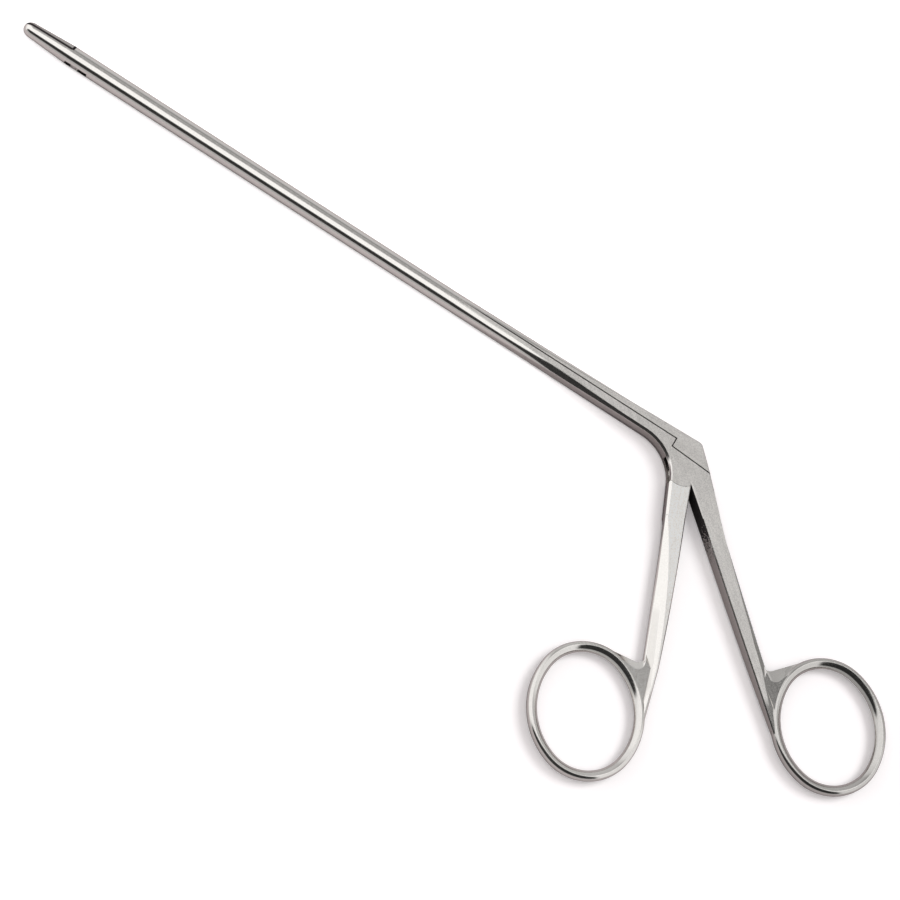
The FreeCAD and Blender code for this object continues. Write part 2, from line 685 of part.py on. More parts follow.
def fixed_member(whole, pair):
    """Lower jaw, lower shaft, body, thumb handle and thumb ring in one piece."""
    shape = whole.cut(rod_zone(-SLIDE_GAP / 2))
    shape = shape.cut(finger_zone(SHOULDER_RADIUS - SHOULDER_GAP, -SHOULDER_GAP / 2))
    shape = shape.fuse(lower_jaw(pair)).fuse(THUMB.solid())
    slot_width = TONGUE_THICKNESS + 2 * TONGUE_CLEARANCE
    arm_side = HEAD_SLOT_BACK_X + TONGUE_ARM_WIDTH / 2
    cuts = [
        disc(0, 0, SAW_SLOT_RADIUS, slot_width),
        block(-arm_side, arm_side, 0, SEAM_Y, slot_width),
        disc(0, 0, PIVOT_PIN_RADIUS, 2 * BODY_THICKNESS),
        tail_slot(JAW_HEEL_X + TAIL_SLOT_BACK),
        disc(JAW_PIVOT_X, JAW_PIVOT_Y, JAW_PIN_RADIUS, 2 * BODY_THICKNESS),
    ]
    cuts += rails(RAIL_CLEARANCE, ROD_TRAVEL, True)
    cuts += seam_grooves()
    return shape.cut(Part.makeCompound(cuts)).removeSplitter()


def sliding_rod(whole):
    """Upper half of the shaft with its head, its rails and the fork at the jaw."""
    shape = whole.common(rod_zone(SLIDE_GAP / 2))
    shape = shape.cut(heel_zone(-HEEL_GAP).fuse(heel_relief()))
    shape = shape.fuse(Part.makeCompound(rails(0, 0, False)).Solids)
    slot_width = TONGUE_THICKNESS + 2 * TONGUE_CLEARANCE
    reach = DRIVE_ARM / math.cos(math.radians(HANDLE_SWING))
    roof = reach + DRIVE_PIN_RADIUS + TONGUE_TIP_WALL + HEAD_ROOF
    fork_back = LINK_X + ROD_TRAVEL / 2 + TAIL_EYE_RADIUS + FORK_MARGIN
    cuts = [
        block(HEAD_SLOT_FRONT_X, HEAD_SLOT_BACK_X, 0, roof, slot_width),
        disc(0, DRIVE_ARM, DRIVE_PIN_RADIUS, 2 * BODY_THICKNESS),
        tail_slot(fork_back),
        disc(LINK_X, LINK_Y, LINK_PIN_RADIUS, 2 * BODY_THICKNESS),
    ]
    cuts += seam_grooves()
    return shape.cut(Part.makeCompound(cuts)).removeSplitter()


def tongue():
    """Thin tongue of the finger handle: hub, drive arm and the root into the shoulder."""
    reach = DRIVE_ARM / math.cos(math.radians(HANDLE_SWING))
    tip = reach + DRIVE_PIN_RADIUS + TONGUE_TIP_WALL
    half = TONGUE_ARM_WIDTH / 2
    hub = disc(0, 0, TONGUE_HUB_RADIUS, TONGUE_THICKNESS)
    arm = block(-half, half, 0, tip - half, TONGUE_THICKNESS)
    nose = disc(0, tip - half, half, TONGUE_THICKNESS)
    side = TONGUE_HUB_RADIUS - TONGUE_ROOT_MARGIN / 2
    left = FINGER.at(TONGUE_BITE, SHOULDER_RADIUS - TONGUE_ROOT_MARGIN)
    right = FINGER.at(2 * TONGUE_BITE, TONGUE_ROOT_MARGIN)
    root = slab([(-side, 0), (left.x, left.y), (right.x, right.y), (side, 0)], TONGUE_THICKNESS)
    bore = disc(0, 0, PIVOT_PIN_RADIUS + PIN_CLEARANCE, BODY_THICKNESS)
    slot = long_hole(0, DRIVE_ARM, math.pi / 2, reach - DRIVE_ARM,
                     DRIVE_PIN_RADIUS + SLOT_CLEARANCE, BODY_THICKNESS)
    return hub.multiFuse([arm, nose, root]).cut(bore.fuse(slot))


def finger_handle(plate):
    """Moving handle: tongue, shoulder, shank and finger ring."""
    root = plate.common(finger_zone(SHOULDER_RADIUS, SHOULDER_GAP / 2))
    return root.multiFuse([tongue(), FINGER.solid()]).removeSplitter()


def flush_pin(x, y, radius, parts):
    """Pin across the middle plane whose ends are dressed flush with the parts round it."""
    return disc(x, y, radius, BODY_THICKNESS).common(parts)


def main():
    """Build every piece and write one STEP file for each."""
    plate, blank, pair = elbow_plate(), shaft_blank(), jaw_pair()
    whole = plate.fuse([blank], JOIN_TOLERANCE)
    shapes = {
        "body_and_thumb_handle": fixed_member(whole, pair),
        "sliding_rod": sliding_rod(whole),
        "finger_handle": finger_handle(plate),
        "upper_jaw": upper_jaw(pair, blank),
        "handle_pivot_pin": flush_pin(0, 0, PIVOT_PIN_RADIUS, plate),
        "drive_pin": flush_pin(0, DRIVE_ARM, DRIVE_PIN_RADIUS, plate),
        "jaw_pivot_pin": flush_pin(JAW_PIVOT_X, JAW_PIVOT_Y, JAW_PIN_RADIUS, blank),
        "jaw_link_pin": flush_pin(LINK_X, LINK_Y, LINK_PIN_RADIUS, blank),
    }
    os.makedirs("parts", exist_ok=True)
    for name, shape in shapes.items():
        print(name, len(shape.Solids), "solid", shape.isValid(), round(shape.Volume, 2))
        shape.exportStep("parts/" + name + ".step")


main()
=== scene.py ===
import logging
import math
from dataclasses import dataclass
from enum import Enum
from typing import Optional, Union

import bmesh
import bpy
from mathutils import Matrix, Vector


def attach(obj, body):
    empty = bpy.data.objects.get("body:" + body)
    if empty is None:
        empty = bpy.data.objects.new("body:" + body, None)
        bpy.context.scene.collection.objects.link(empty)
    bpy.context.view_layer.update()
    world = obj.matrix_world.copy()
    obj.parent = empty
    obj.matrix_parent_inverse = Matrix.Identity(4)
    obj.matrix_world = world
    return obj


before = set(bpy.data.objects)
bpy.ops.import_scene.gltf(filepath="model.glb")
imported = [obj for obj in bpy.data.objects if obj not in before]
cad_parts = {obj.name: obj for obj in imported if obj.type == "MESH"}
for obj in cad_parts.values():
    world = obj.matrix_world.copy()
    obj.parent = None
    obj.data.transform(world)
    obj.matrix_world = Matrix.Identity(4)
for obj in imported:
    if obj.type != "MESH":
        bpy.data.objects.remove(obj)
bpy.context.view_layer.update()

LOG = logging.getLogger("alligator_forceps")

MM = 0.001
MIDDLE = 2.6
CROTCH = (3.95, -3.2)
JAW_HEEL_X = -188.5
# Black of the seam residue and of the painted shade in the seams and the crotch.
SOOT_AND_SHADE = (0.016, 0.013, 0.013, 1.0)
WHITE = (1.0, 1.0, 1.0, 1.0)
UP = Vector((0.0, 0.0, 1.0))
Socket = bpy.types.NodeSocket
Value = Union[float, Socket]


class Member(Enum):
    """The four moving members, by the name of the CAD body that each is."""

    BASE = "base"
    ROD = "rod"
    FINGER_LEVER = "finger_lever"
    JAW = "jaw"


class Heading(Enum):
    """Ways that the wheel marks of the last grinding run, in degrees from +X."""

    SHAFT = 0.0
    FINGER_SHANK = -70.8
    THUMB_SHANK = -41.8


def level(angle: float) -> Vector:
    """Level unit vector at an angle in degrees from +X."""
    return Vector((math.cos(math.radians(angle)), math.sin(math.radians(angle)), 0.0))


class Graph:
    """Short calls that add and join the nodes of one tree.

    Args:
        tree: the material's, world's or group's node tree.
    """

    def __init__(self, tree: bpy.types.NodeTree) -> None:
        """Empty the tree and keep it."""
        self.tree = tree
        tree.nodes.clear()

    def node(self, kind: str, **settings: object) -> bpy.types.Node:
        """Add a node and set its own properties.

        Args:
            kind: Blender's name of the node type.
            settings: properties of the node.

        Returns:
            The new node.
        """
        made = self.tree.nodes.new(kind)
        for name, value in settings.items():
            setattr(made, name, value)
        return made

    def feed(self, target: Socket, value: object) -> None:
        """Link a socket to an input, or set the input to a plain value.

        Args:
            target: the input.
            value: an output socket, a number, or a colour or vector.
        """
        if isinstance(value, Socket):
            self.tree.links.new(value, target)
        else:
            target.default_value = value

    def math(self, operation: str, *values: Value, clamp: bool = False) -> Socket:
        """One Math node.

        Args:
            operation: Blender's name of the operation.
            values: its inputs, in order.
            clamp: whether the result is kept between 0 and 1.

        Returns:
            The result.
        """
        made = self.node("ShaderNodeMath", operation=operation, use_clamp=clamp)
        for target, value in zip(made.inputs, values):
            self.feed(target, value)
        return made.outputs[0]

    def smooth(self, value: Value, low: float, high: float) -> Socket:
        """Smooth step from 0 at low to 1 at high.

        Args:
            value: what is measured.
            low: where the step starts.
            high: where it ends, which may be less than low.

        Returns:
            The step, from 0 to 1.
        """
        made = self.node("ShaderNodeMapRange", interpolation_type="SMOOTHSTEP")
        for name, number in (("From Min", low), ("From Max", high)):
            made.inputs[name].default_value = number
        self.feed(made.inputs["Value"], value)
        return made.outputs["Result"]

    def blend(self, share: Value, first: Value, second: Value) -> Socket:
        """Number between two values.

        Args:
            share: 0 for the first and 1 for the second.
            first: value at 0.
            second: value at 1.

        Returns:
            The value between them.
        """
        made = self.node("ShaderNodeMix", data_type="FLOAT")
        for target, value in zip(made.inputs[:1] + made.inputs[2:4], (share, first, second)):
            self.feed(target, value)
        return made.outputs[0]

    def tint(self, share: Value, first: object, second: object, mode: str = "MIX") -> Socket:
        """Colour between two colours.

        Args:
            share: 0 for the first and 1 for the second.
            first: colour at 0.
            second: colour at 1, or what it is mixed with.
            mode: Blender's name of the way that they mix.

        Returns:
            The colour.
        """
        made = self.node("ShaderNodeMix", data_type="RGBA", blend_type=mode)
        for target, value in zip((made.inputs[0], made.inputs[6], made.inputs[7]),
                                 (share, first, second)):
            self.feed(target, value)
        return made.outputs[2]

    def axes(self, vector: Socket) -> tuple[Socket, Socket, Socket]:
        """The X, Y and Z of a vector."""
        made = self.node("ShaderNodeSeparateXYZ")
        self.feed(made.inputs[0], vector)
        return made.outputs[0], made.outputs[1], made.outputs[2]

    def place(self, name: str, **values: object) -> bpy.types.Node:
        """Place a shader node group with its own values.

        Args:
            name: the group's name.
            values: its inputs by name, with _ for each blank.

        Returns:
            The group's node.
        """
        made = self.node("ShaderNodeGroup", node_tree=bpy.data.node_groups[name])
        for key, value in values.items():
            self.feed(made.inputs[key.replace("_", " ")], value)
        return made


def new_group(name: str, inputs: dict[str, tuple[str, float]],
              outputs: dict[str, str]) -> tuple[Graph, bpy.types.Node, bpy.types.Node]:
    """Start a shader node group.

    Args:
        name: the group's name.
        inputs: each input's kind (Float, Vector or Color) and starting number.
        outputs: each output's kind.

    Returns:
        The graph of the group, its input node and its output node.
    """
    tree = bpy.data.node_groups.new(name, "ShaderNodeTree")
    for key, (kind, start) in inputs.items():
        made = tree.interface.new_socket(key, in_out="INPUT", socket_type="NodeSocket" + kind)
        if kind == "Float":
            made.default_value = start
    for key, kind in outputs.items():
        tree.interface.new_socket(key, in_out="OUTPUT", socket_type="NodeSocket" + kind)
    graph = Graph(tree)
    return graph, graph.node("NodeGroupInput"), graph.node("NodeGroupOutput")


@dataclass(frozen=True)
class WheelMarks:
    """Fine straight marks of a grinding wheel or belt on the flat faces."""

    name: str = "wheel marks"
    fine_lines: float = 9.0
    broad_lines: float = 1.7
    stretch: float = 26.0
    detail: float = 3.0

    def build(self) -> None:
        """Make the group: place and heading in, height and tone out."""
        graph, given, out = new_group(
            self.name, {"Place": ("Vector", 0.0), "Heading": ("Float", 0.0)},
            {"Height": "Float", "Tone": "Float"})
        turn = graph.node("ShaderNodeVectorRotate", rotation_type="Z_AXIS")
        graph.feed(turn.inputs["Vector"], given.outputs["Place"])
        graph.feed(turn.inputs["Angle"], graph.math("MULTIPLY", given.outputs["Heading"], -1.0))
        layers = []
        for lines in (self.fine_lines, self.broad_lines):
            squeeze = graph.node("ShaderNodeVectorMath", operation="MULTIPLY")
            graph.feed(squeeze.inputs[0], turn.outputs[0])
            squeeze.inputs[1].default_value = (lines / self.stretch, lines, lines / self.stretch)
            noise = graph.node("ShaderNodeTexNoise")
            noise.inputs["Scale"].default_value = 1.0
            noise.inputs["Detail"].default_value = self.detail
            graph.feed(noise.inputs["Vector"], squeeze.outputs[0])
            layers.append(noise.outputs["Fac"])
        graph.feed(out.inputs["Height"], layers[0])
        graph.feed(out.inputs["Tone"], graph.blend(0.5, layers[0], layers[1]))


@dataclass(frozen=True)
class SeamSootAndShade:
    """Black line of dark residue and painted shade of the gaps, in the seam of the squared shaft,
    round the rod's head and between the jaws.
    """

    name: str = "seam soot and painted shade"
    seam_y: float = 5.8
    seam_start: tuple[float, float] = (-76.0, -62.0)
    step_x: float = -5.5
    step_foot_y: float = 3.3
    foot_fall: float = math.tan(math.radians(3.4))
    half_width: float = 0.13
    fade: float = 0.08
    jaw_half_width: tuple[float, float] = (0.46, 0.26)
    jaw_end: tuple[float, float] = (0.5, -0.1)
    heel_half_width: tuple[float, float] = (0.42, 0.28)
    heel_middle: float = 0.15
    heel_lean: float = 0.4 / 4.6

    def build(self) -> None:
        """Make the group: place in millimetres in, mask out."""
        graph, given, out = new_group(self.name, {"Place": ("Vector", 0.0)}, {"Mask": "Float"})
        x, y, _ = graph.axes(given.outputs["Place"])
        inner, outer = self.half_width, self.half_width + self.fade

        def near(distance: Socket, widths: tuple[float, float] = (outer, inner)) -> Socket:
            """1 on the line and 0 away from it."""
            return graph.smooth(graph.math("ABSOLUTE", distance), *widths)

        above = graph.math("SUBTRACT", y, self.seam_y)
        ahead = graph.smooth(x, self.step_x + outer, self.step_x + inner)
        ahead = graph.math("MULTIPLY", ahead, graph.smooth(x, *self.seam_start))
        seam = graph.math("MULTIPLY", near(above), ahead)
        between = graph.math("MULTIPLY",
                             graph.smooth(y, self.step_foot_y - outer, self.step_foot_y - inner),
                             graph.smooth(y, self.seam_y + outer, self.seam_y + inner))
        step = graph.math("MULTIPLY", near(graph.math("SUBTRACT", x, self.step_x)), between)
        behind = graph.math("SUBTRACT", x, self.step_x)
        foot_y = graph.math("SUBTRACT", self.step_foot_y,
                            graph.math("MULTIPLY", behind, self.foot_fall))
        foot = graph.math("MULTIPLY", near(graph.math("SUBTRACT", y, foot_y)),
                          graph.math("GREATER_THAN", behind, 0.0))
        past_heel = graph.math("SUBTRACT", x, JAW_HEEL_X)
        bite = graph.math("MULTIPLY", near(above, self.jaw_half_width),
                          graph.smooth(past_heel, *self.jaw_end))
        joint = graph.math("SUBTRACT", graph.math("SUBTRACT", past_heel, self.heel_middle),
                           graph.math("MULTIPLY", above, self.heel_lean))
        heel = graph.math("MULTIPLY", near(joint, self.heel_half_width),
                          graph.math("GREATER_THAN", above, -self.half_width))
        # The seam, step, foot, bite and heel lines are dark residue and painted shade of the gaps.
        mask = graph.math("MAXIMUM", graph.math("MAXIMUM", seam, step), foot)
        mask = graph.math("MAXIMUM", mask, graph.math("MAXIMUM", bite, heel))
        graph.feed(out.inputs["Mask"], mask)


@dataclass(frozen=True)
class CrotchShade:
    """Painted shade: black in the crotch, on the inner wall of each handle, breaking up down the
    shank.
    """

    name: str = "painted crotch shade"
    reach: tuple[float, float] = (17.0, 14.0)
    scatter: float = 30.0
    speck: float = 1.9
    detail: float = 3.0
    wall: tuple[float, float] = (0.62, 0.42)

    def build(self) -> None:
        """Make the group: place in millimetres and the shank's heading in, mask out."""
        graph, given, out = new_group(
            self.name, {"Place": ("Vector", 0.0), "Heading": ("Float", 0.0)}, {"Mask": "Float"})
        turn = graph.node("ShaderNodeVectorRotate", rotation_type="Z_AXIS")
        turn.inputs["Center"].default_value = (*CROTCH, 0.0)
        graph.feed(turn.inputs["Vector"], given.outputs["Place"])
        graph.feed(turn.inputs["Angle"], graph.math("MULTIPLY", given.outputs["Heading"], -1.0))
        x, y, _ = graph.axes(turn.outputs[0])
        along = graph.math("SUBTRACT", x, CROTCH[0])
        aside = graph.math("ABSOLUTE", graph.math("SUBTRACT", y, CROTCH[1]))
        noise = graph.node("ShaderNodeTexNoise")
        noise.inputs["Scale"].default_value = self.speck
        noise.inputs["Detail"].default_value = self.detail
        graph.feed(noise.inputs["Vector"], given.outputs["Place"])
        loose = graph.math("SUBTRACT", noise.outputs["Fac"], 0.5)
        ragged = graph.math("MULTIPLY_ADD", loose, self.scatter, along)
        mask = graph.math("MULTIPLY", graph.smooth(ragged, *self.reach),
                          graph.smooth(aside, *self.wall))
        mask = graph.math("MULTIPLY", mask, graph.math("GREATER_THAN", along, -self.wall[0]))
        graph.feed(out.inputs["Mask"], mask)


@dataclass(frozen=True)
class Handling:
    """Cloudy marks of handling, specks, and the fine grain of the satin faces."""

    name: str = "handling marks"
    patch: float = 0.09
    speck: float = 1.4
    grain: float = 3.4
    detail: float = 4.0

    def build(self) -> None:
        """Make the group: place in millimetres in, cloud, specks and grain out."""
        graph, given, out = new_group(self.name, {"Place": ("Vector", 0.0)},
                                      {"Cloud": "Float", "Speck": "Float", "Grain": "Float"})
        for key, scale in (("Cloud", self.patch), ("Speck", self.speck), ("Grain", self.grain)):
            noise = graph.node("ShaderNodeTexNoise")
            noise.inputs["Scale"].default_value = scale
            noise.inputs["Detail"].default_value = self.detail
            graph.feed(noise.inputs["Vector"], given.outputs["Place"])
            graph.feed(out.inputs[key], noise.outputs["Fac"])


@dataclass(frozen=True)
class SoftEdge:
    """Broad soft arris that hand polishing leaves along one side, as a lean of the normal.

    Heading is where the side faces, and tilt how far the arris leans from level.
    """

    heading: float
    spread: tuple[float, float]
    tilt: float
    low: tuple[float, float]
    start_x: tuple[float, float]
    end_x: tuple[float, float]
    steepest: float = 0.999


@dataclass(frozen=True)
class Limits:
    """Where each kind of face starts and is whole, by its upward share, X and depth in mm."""

    level: tuple[float, float] = (0.985, 0.998)
    slope: tuple[float, float] = (0.90, 0.925)
    wall: tuple[float, float] = (0.97, 0.85)
    squared_x: tuple[float, float] = (-80.0, -62.0)
    web_depth: tuple[float, float] = (1.75, 1.60)


@dataclass(frozen=True)
class Masks:
    """Shares of the kinds of face at a place of the surface, each from 0 to 1."""

    level_face: Socket
    flat: Socket
    web: Socket
    slope: Socket
    wall: Socket


@dataclass(frozen=True)
class Steel:
    """Stainless steel: satin on the flat faces and brighter on the round ones."""

    name: str
    heading: Heading = Heading.SHAFT
    colour: tuple[float, float, float] = (0.80, 0.775, 0.745)
    # These tones are partly the steel's own tone and partly painted reflection: faces are
    # lightened or darkened to stand for how they mirror the room.
    flat_tone_and_painted_reflection: float = 1.05
    flat_roughness: float = 0.42
    round_tone_and_painted_reflection: float = 1.0
    round_roughness: float = 0.12
    web_painted_reflection: float = 1.0
    web_roughness: float = 0.20
    slope_painted_reflection: float = 1.15
    soot_and_shade_roughness: float = 0.85
    mark_depth: float = 0.06
    mark_height: float = 0.02
    streaks: float = 0.62
    grain: tuple[float, float] = (0.22, 0.85)
    cloud_tone: float = 0.10
    cloud_roughness: float = 0.10
    speck_roughness: float = 0.12
    limits: Limits = Limits()
    edge: Optional[SoftEdge] = None
    crown: Optional[SoftEdge] = None
    # Seam black is dark residue and painted shade; crotch black is painted shade.
    seam_soot_and_shade: bool = False
    crotch: bool = False

    def lean(self, graph: Graph, own: Socket, place: Socket,
             edge: SoftEdge) -> tuple[Socket, Socket]:
        """Lean the normal along a soft edge.

        Args:
            graph: the material's graph.
            own: the normal so far, in the object's axes.
            place: the place in millimetres.
            edge: the soft edge.

        Returns:
            The new normal, and where it was leant.
        """
        def combine(operation: str, first: object, second: object) -> Socket:
            """One Vector Math node of two inputs."""
            made = graph.node("ShaderNodeVectorMath", operation=operation)
            graph.feed(made.inputs[0], first)
            graph.feed(made.inputs[1], second)
            return made.outputs["Value" if operation == "DOT_PRODUCT" else "Vector"]

        x, _, z = graph.axes(place)
        height = graph.math("SUBTRACT", z, MIDDLE)
        side = graph.node("ShaderNodeVectorMath", operation="NORMALIZE")
        graph.feed(side.inputs[0], combine("MULTIPLY", own, (1.0, 1.0, 0.0)))
        faced = combine("DOT_PRODUCT", side.outputs[0], level(edge.heading))
        share = graph.smooth(faced, *edge.spread)
        share = graph.math("MULTIPLY", share,
                           graph.smooth(graph.math("ABSOLUTE", height), *edge.low))
        steep = graph.math("ABSOLUTE", graph.axes(own)[2])
        share = graph.math("MULTIPLY", share,
                           graph.math("LESS_THAN", steep, edge.steepest))
        for limits in (edge.start_x, edge.end_x):
            share = graph.math("MULTIPLY", share, graph.smooth(x, *limits))
        lean = math.radians(edge.tilt)
        across = combine("MULTIPLY", side.outputs[0], (math.sin(lean),) * 3)
        upward = graph.node("ShaderNodeCombineXYZ")
        graph.feed(upward.inputs["Z"],
                   graph.math("MULTIPLY", graph.math("SIGN", height), math.cos(lean)))
        leant = combine("ADD", across, upward.outputs[0])
        mixed = graph.node("ShaderNodeMix", data_type="VECTOR")
        for target, value in zip((mixed.inputs[0], mixed.inputs[4], mixed.inputs[5]),
                                 (share, own, leant)):
            graph.feed(target, value)
        return mixed.outputs[1], share

    def masks(self, graph: Graph, place: Socket, facing: Socket,
              crowned: Optional[Socket]) -> Masks:
        """Tell the kinds of face apart.

        Args:
            graph: the material's graph.
            place: the place in millimetres.
            facing: how far the face looks up or down, from 0 to 1.
            crowned: where the crown edge was leant, if there is one.

        Returns:
            The masks.
        """
        limits = self.limits
        x, _, z = graph.axes(place)
        depth = graph.math("ABSOLUTE", graph.math("SUBTRACT", z, MIDDLE))
        level_face = graph.smooth(facing, *limits.level)
        if crowned is not None:
            level_face = graph.math("MAXIMUM", level_face, crowned)
        low = graph.smooth(depth, *limits.web_depth)
        slope = graph.math("MULTIPLY", graph.smooth(facing, *limits.slope), low)
        slope = graph.math("MULTIPLY", slope, graph.smooth(facing, *limits.level[::-1]))
        return Masks(level_face=level_face,
                     flat=graph.math("MULTIPLY", level_face, graph.smooth(x, *limits.squared_x)),
                     web=graph.math("MULTIPLY", level_face, low),
                     slope=slope,
                     wall=graph.smooth(facing, *limits.wall))

    def colour_and_roughness(self, graph: Graph, place: Socket, masks: Masks,
                             streaks: Socket) -> tuple[Socket, Socket]:
        """Tint and roughen each kind of face.

        Args:
            graph: the material's graph.
            place: the place in millimetres.
            masks: the kinds of face.
            streaks: tone of the wheel marks.

        Returns:
            The bare steel's colour and its roughness.
        """
        hands = graph.place("handling marks", Place=place)
        cloud, speck, grain = (graph.math("SUBTRACT", hands.outputs[key], 0.5)
                               for key in ("Cloud", "Speck", "Grain"))
        # Tone by kind of face: the steel's own tone and painted reflection.
        tone = graph.blend(masks.flat, self.round_tone_and_painted_reflection, self.flat_tone_and_painted_reflection)
        tone = graph.blend(masks.web, tone, self.web_painted_reflection)
        tone = graph.blend(masks.slope, tone, self.slope_painted_reflection)
        tone = graph.math("MULTIPLY_ADD", graph.math("SUBTRACT", streaks, 0.5),
                          graph.math("MULTIPLY", masks.flat, self.streaks), tone)
        tone = graph.math("MULTIPLY_ADD", grain, graph.blend(masks.level_face, *self.grain), tone)
        tone = graph.math("MULTIPLY_ADD", cloud, self.cloud_tone, tone)
        rough = graph.blend(masks.flat, self.round_roughness, self.flat_roughness)
        rough = graph.blend(masks.web, rough, self.web_roughness)
        rough = graph.blend(masks.slope, rough, self.flat_roughness)
        rough = graph.math("MULTIPLY_ADD", speck, self.speck_roughness, rough)
        rough = graph.math("MULTIPLY_ADD", cloud, self.cloud_roughness, rough, clamp=True)
        return graph.tint(1.0, (*self.colour, 1.0), tone, "MULTIPLY"), rough

    def soot_and_shade(self, graph: Graph, place: Socket, masks: Masks) -> Value:
        """Where black lies on the steel: dark residue and painted shade in the seams, painted
        shade in the crotch.

        Args:
            graph: the material's graph.
            place: the place in millimetres.
            masks: the kinds of face.

        Returns:
            The share of soot and painted shade, from 0 to 1.
        """
        found: Value = 0.0
        # Seam lines: dark residue and painted shade of the gaps.
        if self.seam_soot_and_shade:
            found = graph.place("seam soot and painted shade", Place=place).outputs["Mask"]
        # Painted shade on the inner walls near the crotch.
        if self.crotch:
            black = graph.place("painted crotch shade", Place=place,
                                Heading=math.radians(self.heading.value)).outputs["Mask"]
            found = graph.math("MAXIMUM", found, graph.math("MULTIPLY", black, masks.wall))
        return found

    def relief(self, graph: Graph, normal: Socket, marks: Socket) -> Socket:
        """Press the wheel marks into the surface.

        Args:
            graph: the material's graph.
            normal: the smooth normal, in the object's axes.
            marks: height of the wheel marks.

        Returns:
            The marked normal, in the world's axes.
        """
        turned = graph.node("ShaderNodeVectorTransform", vector_type="NORMAL",
                            convert_from="OBJECT", convert_to="WORLD")
        graph.feed(turned.inputs[0], normal)
        bump = graph.node("ShaderNodeBump")
        bump.inputs["Strength"].default_value = self.mark_depth
        bump.inputs["Distance"].default_value = self.mark_height * MM
        graph.feed(bump.inputs["Height"], marks)
        graph.feed(bump.inputs["Normal"], turned.outputs[0])
        return bump.outputs["Normal"]

    def material(self) -> bpy.types.Material:
        """Build the procedural material.

        Returns:
            The material, on Object coordinates in millimetres.
        """
        made = bpy.data.materials.new(self.name)
        made.use_nodes = True
        graph = Graph(made.node_tree)
        source = graph.node("ShaderNodeTexCoord")
        scale = graph.node("ShaderNodeVectorMath", operation="SCALE")
        graph.feed(scale.inputs[0], source.outputs["Object"])
        scale.inputs["Scale"].default_value = 1 / MM
        place = scale.outputs[0]
        normal = source.outputs["Normal"]
        facing = graph.math("ABSOLUTE", graph.axes(normal)[2])
        crowned = None
        if self.edge:
            normal, _ = self.lean(graph, normal, place, self.edge)
        if self.crown:
            normal, crowned = self.lean(graph, normal, place, self.crown)
        masks = self.masks(graph, place, facing, crowned)
        marks = graph.place("wheel marks", Place=place,
                            Heading=math.radians(self.heading.value)).outputs
        colour, rough = self.colour_and_roughness(graph, place, masks, marks["Tone"])
        soot_and_shade = self.soot_and_shade(graph, place, masks)
        shader = graph.node("ShaderNodeBsdfPrincipled")
        graph.feed(shader.inputs["Base Color"], graph.tint(soot_and_shade, colour, SOOT_AND_SHADE))
        graph.feed(shader.inputs["Roughness"], graph.blend(soot_and_shade, rough, self.soot_and_shade_roughness))
        graph.feed(shader.inputs["Metallic"], graph.blend(soot_and_shade, 1.0, 0.0))
        graph.feed(shader.inputs["Normal"], self.relief(graph, normal, marks["Height"]))
        out = graph.node("ShaderNodeOutputMaterial")
        graph.feed(out.inputs["Surface"], shader.outputs["BSDF"])
        return made


def dress(node: str, finish: bpy.types.Material) -> None:
    """Give a CAD node its finish.

    Args:
        node: the node's name.
        finish: the material.
    """
    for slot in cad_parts[node].material_slots:
        slot.material = finish
    LOG.info("%s: %s", node, finish.name)


